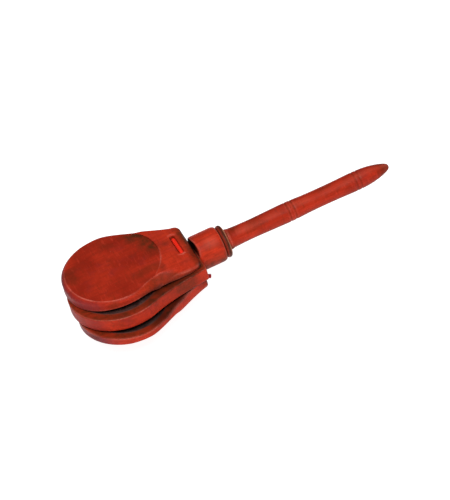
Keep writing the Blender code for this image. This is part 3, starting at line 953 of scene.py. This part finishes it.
def make_grip():
    grip = mesh_object("turned_grip", build_grip)
    shade(grip, TURNED_SHARP)
    paint(grip, wear=grip_wear, smudge=grip_smudge, tone=grip_tone, sheen=grip_sheen)
    paint(grip, dusk=lambda co, normal: 0.0)
    grip.data.transform(FROM_SHOULDER)
    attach(grip, "handle")
    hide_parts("grip")
    return grip


# ------ cord


def resample(points, spacing):
    found = []
    for a, b in zip(points, points[1:]):
        count = max(1, round((b - a).length / spacing))
        found += [a.lerp(b, i / count) for i in range(count)]
    found.append(points[-1])
    return found


def braided_tube(bm, path):
    """A tube along a path whose skin bulges in the diamonds of a plaited cord."""
    points = resample(path, PLAIT_SPACING)
    rings = []
    length = 0.0
    side = Vector((1, 0, 0))
    for i, p in enumerate(points):
        if i > 0:
            length += (p - points[i - 1]).length
        ahead = points[min(i + 1, len(points) - 1)] - points[max(i - 1, 0)]
        ahead.normalize()
        side = (side - ahead * side.dot(ahead)).normalized()
        up = ahead.cross(side)
        half_turn = tau * length / PLAIT_LAY / 2
        ring = []
        for k in range(PLAIT_TURNS):
            a = tau * k / PLAIT_TURNS
            left = abs(sin(PLAIT_STRANDS / 2 * (a + half_turn)))
            right = abs(sin(PLAIT_STRANDS / 2 * (a - half_turn)))
            reach = CORD_RADIUS * (1 - PLAIT_BULGE + PLAIT_BULGE * (left * right))
            ring.append(p + side * (reach * cos(a)) + up * (reach * sin(a)))
        rings.append(ring)
    ends = (points[0] - points[1], points[-1] - points[-2])
    loft(bm, rings, [end.normalized() * CORD_RADIUS * 0.25 for end in ends])


def bend(corner, first, second):
    """A rounded corner of the cord, from one direction into another."""
    centre = Vector(corner) + CORD_BEND * (Vector(second) - Vector(first))
    found = []
    for i in range(BEND_STEPS + 1):
        a = pi / 2 * i / BEND_STEPS
        out = CORD_BEND * sin(a) * Vector(first)
        found.append(centre - CORD_BEND * cos(a) * Vector(second) + out)
    return found


def lacing_path(side):
    """Up out of the near hole, across the shell's slot and down into the far hole."""
    run = side * (RIM_LEVEL + PAD_HEIGHT - CORD_RADIUS)
    foot = side * (BOARD_THICK / 2 + TOUCH)
    up, down, across = (0, 0, side), (0, 0, -side), (0, 1, 0)
    path = [Vector((CORD_X, -HOLE_OFFSET, foot))]
    path += bend((CORD_X, -HOLE_OFFSET, run), up, across)
    path += bend((CORD_X, HOLE_OFFSET, run), across, down)
    path.append(Vector((CORD_X, HOLE_OFFSET, foot)))
    return path


def cord_piece(name, path, node):
    shift = Vector((CORD_SHIFT, 0, 0))
    cord = mesh_object(name, lambda bm: braided_tube(bm, [place(p) + shift for p in path]))
    shade(cord, CORD_SHARP)
    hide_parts(node)
    return cord


def make_cords():
    made = []
    for name, side, body, node in (
        ("top_lacing", 1, "top_clapper", "cord_top_loop"),
        ("bottom_lacing", -1, "bottom_clapper", "cord_bottom_loop"),
    ):
        cord = cord_piece(name, lacing_path(side), node)
        start = place((CORD_X, 0, side * BOARD_THICK / 2))
        end = place((CORD_X, 0, side * (RIM_LEVEL + BLEND_END)))
        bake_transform(cord)
        made.append(cord)
    for name, side, node in (("near_leg", -1, "cord_near_leg"), ("far_leg", 1, "cord_far_leg")):
        ends = [Vector((CORD_X, side * HOLE_OFFSET, z)) for z in (-BOARD_THICK / 2, BOARD_THICK / 2)]
        cord = cord_piece(name, ends, node)
        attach(cord, "handle")
        made.append(cord)
    hole = Vector((CORD_X, -HOLE_OFFSET, TAIL_LEVEL))
    end = Vector((*TAIL_END, TAIL_LEVEL))
    start = hole + (end - hole).normalized() * 2 * CORD_RADIUS
    cord = cord_piece("cord_end", [start, end], "cord_tail")
    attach(cord, "bottom_clapper")
    made.append(cord)
    return made


# ------ materials


SATIN_LEVEL = 0.07
FLOOR_TONES = (0.44, 0.47)
FLOOR_GLOW = 0.92


class Nodes:
    """A short way to write a node tree: sockets are passed as inputs, by name or number."""

    def __init__(self, name):
        self.material = bpy.data.materials.new(name)
        self.material.use_nodes = True
        self.tree = self.material.node_tree
        self.shader = self.tree.nodes["Principled BSDF"]

    def add(self, kind, inputs=None, out=0, **settings):
        node = self.tree.nodes.new("ShaderNode" + kind)
        for key, value in settings.items():
            setattr(node, key, value)
        for key, value in (inputs or {}).items():
            self.feed(node.inputs[key], value)
        return node.outputs[out]

    def feed(self, socket, value):
        if isinstance(value, bpy.types.NodeSocket):
            self.tree.links.new(value, socket)
        else:
            socket.default_value = value

    def plus(self, a, b):
        return self.add("Math", {0: a, 1: b}, operation="ADD")

    def times(self, a, b):
        return self.add("Math", {0: a, 1: b}, operation="MULTIPLY")

    def mix(self, factor, a, b):
        inputs = {"Factor": factor, 6: a, 7: b}
        return self.add("Mix", inputs, out=2, data_type="RGBA", blend_type="MIX", clamp_factor=True)

    def painted(self, name):
        return self.add("Attribute", out=2, attribute_name=name)

    def remap(self, value, low, high, to_low=0.0, to_high=1.0):
        inputs = {"Value": value, "From Min": low, "From Max": high, "To Min": to_low, "To Max": to_high}
        return self.add("MapRange", inputs, clamp=True)

    def noise(self, vector, scale, detail, rough, distortion=0.0):
        """Cloudy values, finer as the scale grows and more broken as the rest do."""
        inputs = {"Vector": vector, "Scale": scale, "Detail": detail, "Roughness": rough}
        return self.add("TexNoise", {**inputs, "Distortion": distortion})

    def stretched(self, scale):
        return self.add("Mapping", {"Vector": self.add("TexCoord", out=3), "Scale": scale})

    def over(self, colour, coat, value, low, high, strength):
        """Lay a coat over a colour, from none where a value is low to a strength where it is high."""
        return self.mix(self.remap(value, low, high, 0.0, strength), colour, coat)

    def broken(self, layer, value, low, high, least):
        """A painted layer, which keeps only its least share where a value is low."""
        return self.times(self.painted(layer), self.remap(value, low, high, least, 1.0))

    def finish(self, colour, roughness, relief, strength, depth):
        """Feed the shader with a satin finish in relief, and give the material."""
        bump = self.add("Bump", {"Strength": strength, "Distance": depth, "Height": relief})
        self.feed(self.shader.inputs["Base Color"], colour)
        self.feed(self.shader.inputs["Roughness"], roughness)
        self.feed(self.shader.inputs["Normal"], bump)
        self.shader.inputs["Specular IOR Level"].default_value = SATIN_LEVEL
        return self.material


def rgb(red, green, blue):
    """A linear colour from an 8-bit screen colour."""
    return tuple(((c / 255 + 0.055) / 1.055) ** 2.4 for c in (red, green, blue)) + (1.0,)


DEEP_STAIN = rgb(142, 31, 14)
BRIGHT_STAIN = rgb(190, 50, 26)
GRAIN = rgb(116, 28, 12)
FIBRE = rgb(128, 30, 16)
TOOL_MARK = rgb(112, 36, 14)
TOOL_GLOSS = rgb(196, 60, 40)
BLOTCH = rgb(112, 34, 18)
PLUM = rgb(128, 36, 40)
# Purplish dark red for painted shade on sloped edges
DUSK = rgb(104, 42, 50)
# Brown for dirt and painted shade
DIRT = rgb(76, 34, 12)
# Pink for painted highlights
SHEEN = rgb(204, 84, 62)
# Pink for edges thinned by handling and for painted edge highlights
RUBBED_EDGE = rgb(214, 112, 96)
CHIP = rgb(206, 118, 92)
HOLLOW_DARK = rgb(44, 30, 30)
HOLLOW_DUST = rgb(88, 62, 58)
# Near black for painted shade
SOOT = rgb(26, 12, 7)
RING_DARK = rgb(44, 26, 12)
RING_BROWN = rgb(88, 34, 22)
RING_LINE = rgb(110, 44, 24)
RING_STAIN = rgb(150, 46, 30)
# Tan for the ring's painted highlight
RING_RUBBED = rgb(206, 132, 96)
CORD_DARK = rgb(206, 26, 14)
CORD_LIGHT = rgb(244, 52, 30)
CORD_SHADE = rgb(170, 20, 16)
# The cord's colours darkened, as painted shade for the cord's end
CUT_CORD_DARK = rgb(122, 18, 24)
CUT_CORD_LIGHT = rgb(160, 30, 34)
EVEN = (1.0, 1.0, 1.0)


def stained_wood(name, hollow, grain, lines):
    """Red-stained close-grained wood, thinned by handling at the edges and browned in patches, with
    painted shade, painted highlights and painted edge highlights laid over it.

    grain is the strength of the lengthwise figure. lines stretches the tool marks, which
    run across the axis on a flat face and round it on turned work.
    """
    n = Nodes(name)
    along = n.stretched((0.10, 1.0, 1.0))
    across = n.stretched(lines)
    everywhere = n.stretched(EVEN)
    fibres = n.noise(along, 2600.0, 5.0, 0.6, 0.4)
    figure = n.noise(along, 520.0, 6.0, 0.6, 1.2)
    marks = n.noise(across, 900.0, 4.0, 0.62, 0.8)
    cloud = n.noise(everywhere, 70.0, 3.0, 0.5)
    bloom = n.noise(everywhere, 95.0, 4.0, 0.55)
    blotch = n.noise(everywhere, 190.0, 5.0, 0.62, 0.6)
    fleck = n.noise(everywhere, 1100.0, 3.0, 0.6)

    tone = n.plus(n.painted("tone"), n.remap(cloud, 0.30, 0.70, -0.22, 0.22))
    colour = n.mix(tone, DEEP_STAIN, BRIGHT_STAIN)
    colour = n.over(colour, GRAIN, figure, 0.62, 0.38, grain)
    colour = n.over(colour, FIBRE, fibres, 0.50, 0.78, 0.30)
    colour = n.over(colour, TOOL_MARK, marks, 0.55, 0.74, 0.55)
    colour = n.over(colour, TOOL_GLOSS, marks, 0.44, 0.28, 0.40)
    colour = n.over(colour, BLOTCH, blotch, 0.56, 0.74, 0.45)
    colour = n.over(colour, PLUM, bloom, 0.55, 0.74, 0.30)
    # Painted shade, purplish, over sloped edges.
    dusk = n.broken("dusk", blotch, 0.30, 0.60, 0.60)
    colour = n.mix(n.times(dusk, 0.85), colour, DUSK)
    # Dirt, with painted shade under parts, in gaps and behind the necks.
    smudge = n.broken("smudge", blotch, 0.30, 0.60, 0.45)
    colour = n.mix(smudge, colour, DIRT)
    # Painted highlights on the drum and along the grip.
    sheen = n.broken("sheen", marks, 0.30, 0.62, 0.35)
    colour = n.mix(n.times(sheen, 0.42), colour, SHEEN)
    # Edges thinned by handling, with painted edge highlights.
    worn = n.broken("wear", fleck, 0.34, 0.58, 0.35)
    colour = n.mix(n.times(worn, 0.75), colour, RUBBED_EDGE)
    chips = n.times(n.remap(fleck, 0.71, 0.76), n.remap(blotch, 0.46, 0.56))
    colour = n.mix(n.times(chips, 0.45), colour, CHIP)
    roughness = n.remap(figure, 0.3, 0.7, 0.38, 0.50)
    roughness = n.plus(roughness, n.times(smudge, 0.12))
    if hollow:
        dark = n.painted("hollow")
        colour = n.mix(dark, colour, n.mix(n.remap(blotch, 0.35, 0.65), HOLLOW_DARK, HOLLOW_DUST))
        # Painted shade, near black, behind the necks, at the near corner and in the gaps by the board.
        colour = n.mix(n.painted("soot"), colour, SOOT)
        roughness = n.plus(roughness, n.times(dark, 0.35))
    relief = n.plus(n.times(fibres, 0.5), n.times(figure, 0.5))
    relief = n.plus(relief, n.times(blotch, 0.6))
    relief = n.plus(relief, n.times(marks, 0.7))
    return n.finish(colour, roughness, relief, 0.32, 0.00022)


def dark_ring_finish():
    n = Nodes("dark_ring_finish")
    cloud = n.noise(n.stretched(EVEN), 260.0, 5.0, 0.6)
    lines = n.noise(n.stretched((6.0, 1.0, 1.0)), 500.0, 4.0, 0.6)
    colour = n.mix(n.remap(cloud, 0.35, 0.68), RING_DARK, RING_BROWN)
    colour = n.over(colour, RING_LINE, lines, 0.5, 0.8, 0.5)
    stained = n.broken("stained", cloud, 0.30, 0.60, 0.55)
    colour = n.mix(n.times(stained, 0.8), colour, RING_STAIN)
    # A painted highlight on the ring's crown towards the grip.
    worn = n.broken("wear", cloud, 0.30, 0.55, 0.4)
    colour = n.mix(n.times(worn, 0.8), colour, RING_RUBBED)
    return n.finish(colour, n.remap(cloud, 0.3, 0.7, 0.34, 0.48), lines, 0.3, 0.0002)


def cord_finish(name, dark, light):
    n = Nodes(name)
    everywhere = n.stretched(EVEN)
    fibre = n.noise(everywhere, 3500.0, 4.0, 0.65)
    cloud = n.noise(everywhere, 420.0, 3.0, 0.5)
    colour = n.mix(n.remap(fibre, 0.35, 0.65), dark, light)
    colour = n.over(colour, CORD_SHADE, cloud, 0.55, 0.75, 0.4)
    return n.finish(colour, n.remap(cloud, 0.3, 0.7, 0.6, 0.8), fibre, 0.4, 0.0001)


def floor_finish():
    n = Nodes("floor_finish")
    cloud = n.noise(n.stretched(EVEN), 3.0, 2.0, 0.55)
    dark, light = ((tone, tone, tone, 1) for tone in FLOOR_TONES)
    n.feed(n.shader.inputs["Base Color"], n.mix(cloud, dark, light))
    n.shader.inputs["Roughness"].default_value = 0.9
    n.shader.inputs["Specular IOR Level"].default_value = 0.0
    n.shader.inputs["Emission Color"].default_value = (1, 1, 1, 1)
    n.shader.inputs["Emission Strength"].default_value = FLOOR_GLOW
    return n.material


def keep_inside(obj):
    """Hold a piece within the box of the frame's own parts."""
    low, high = cad_box
    for v in obj.data.vertices:
        v.co = [min(max(c, a), b) for c, a, b in zip(v.co, low, high)]


def dress(obj, material):
    keep_inside(obj)
    obj.data.materials.clear()
    obj.data.materials.append(material)


# ------ studio


FLOOR_LEVEL = -0.02
FLOOR_HALF_WIDTH = 3.0
LIGHT_DISTANCE = 1.2
WORLD_LIGHT = 0.22


def make_floor():
    """A sheet far enough down for the lower shell to swing open above it."""

    def grid(bm):
        bmesh.ops.create_grid(bm, x_segments=8, y_segments=8, size=FLOOR_HALF_WIDTH)

    floor = mesh_object("floor", grid)
    floor.location.z = FLOOR_LEVEL
    floor.data.materials.append(floor_finish())


def softbox(name, azimuth, elevation, size, power):
    """A square light aimed at the object. Azimuth is clockwise from -Y, seen from above."""
    light = bpy.data.lights.new(name, "AREA")
    light.shape = "RECTANGLE"
    light.size = light.size_y = size
    light.energy = power
    obj = bpy.data.objects.new(name, light)
    bpy.context.scene.collection.objects.link(obj)
    a, e = radians(azimuth), radians(elevation)
    away = Vector((-sin(a) * cos(e), -cos(a) * cos(e), sin(e)))
    obj.location = Vector((0, 0, AXIS_HEIGHT)) + away * LIGHT_DISTANCE
    obj.rotation_euler = away.to_track_quat("Z", "Y").to_euler()


def make_lights():
    softbox("key_softbox", azimuth=10, elevation=57, size=0.45, power=12.0)
    softbox("top_softbox", azimuth=60, elevation=80, size=0.9, power=3.0)
    world = bpy.data.worlds.new("studio")
    world.use_nodes = True
    background = world.node_tree.nodes["Background"]
    background.inputs["Color"].default_value = (1, 1, 1, 1)
    background.inputs["Strength"].default_value = WORLD_LIGHT
    bpy.context.scene.world = world


CAMERA_ELEVATION = 40.91
CAMERA_AZIMUTH = 12.5
CAMERA_ROLL = 16.41
CAMERA_DISTANCE = 1.8
CAMERA_AIM = (-0.0166, -0.00214)
FRAME_HEIGHT = 0.2973


def make_camera():
    """A long lens from the front, above and a little to the left, with the frame rolled."""
    e, a, roll = (radians(d) for d in (CAMERA_ELEVATION, CAMERA_AZIMUTH, CAMERA_ROLL))
    ahead = Vector((sin(a) * cos(e), cos(a) * cos(e), -sin(e)))
    level = Vector((cos(a), -sin(a), 0))
    above = level.cross(ahead)
    right = level * cos(roll) - above * sin(roll)
    up = level * sin(roll) + above * cos(roll)
    camera = bpy.data.cameras.new("camera")
    camera.sensor_fit = "VERTICAL"
    camera.lens = camera.sensor_height * CAMERA_DISTANCE / FRAME_HEIGHT
    camera.clip_start = 0.05
    obj = bpy.data.objects.new("camera", camera)
    bpy.context.scene.collection.objects.link(obj)
    turn = Matrix((right, up, -ahead)).transposed()
    spot = place((0, 0, 0)) - ahead * CAMERA_DISTANCE - right * CAMERA_AIM[0] - up * CAMERA_AIM[1]
    obj.matrix_world = Matrix.Translation(spot) @ turn.to_4x4()
    bpy.context.scene.camera = obj


def main():
    make_camera()
    shell_wood = stained_wood("shell_wood", hollow=True, grain=0.35, lines=(1.0, 0.16, 0.6))
    paddle_wood = stained_wood("paddle_wood", hollow=True, grain=0.45, lines=(0.6, 0.3, 0.3))
    grip_wood = stained_wood("grip_wood", hollow=False, grain=0.40, lines=(1.0, 0.12, 0.12))
    back, corner = TOP_SHELL_BACK, TOP_SHELL_CORNER
    top = make_shell("top_shell_wood", "top_clapper", "top_shell", back, corner, False, 1)
    back, corner = BOTTOM_SHELL_BACK, BOTTOM_SHELL_CORNER
    bottom = make_shell("bottom_shell_wood", "bottom_clapper", "bottom_shell", back, corner, True, 6)
    dress(top, shell_wood)
    dress(bottom, shell_wood)
    dress(make_paddle(), paddle_wood)
    dress(make_grip(), grip_wood)
    dress(make_ring(), dark_ring_finish())
    braid = cord_finish("cord_finish", CORD_DARK, CORD_LIGHT)
    # A darker copy of the cord's finish: painted shade for the cord's end.
    cut_end = cord_finish("cut_cord_finish", CUT_CORD_DARK, CUT_CORD_LIGHT)
    for cord in make_cords():
        dress(cord, cut_end if cord.name == "cord_end" else braid)
    make_floor()
    make_lights()
    bpy.context.scene.view_settings.view_transform = "Standard"


main()
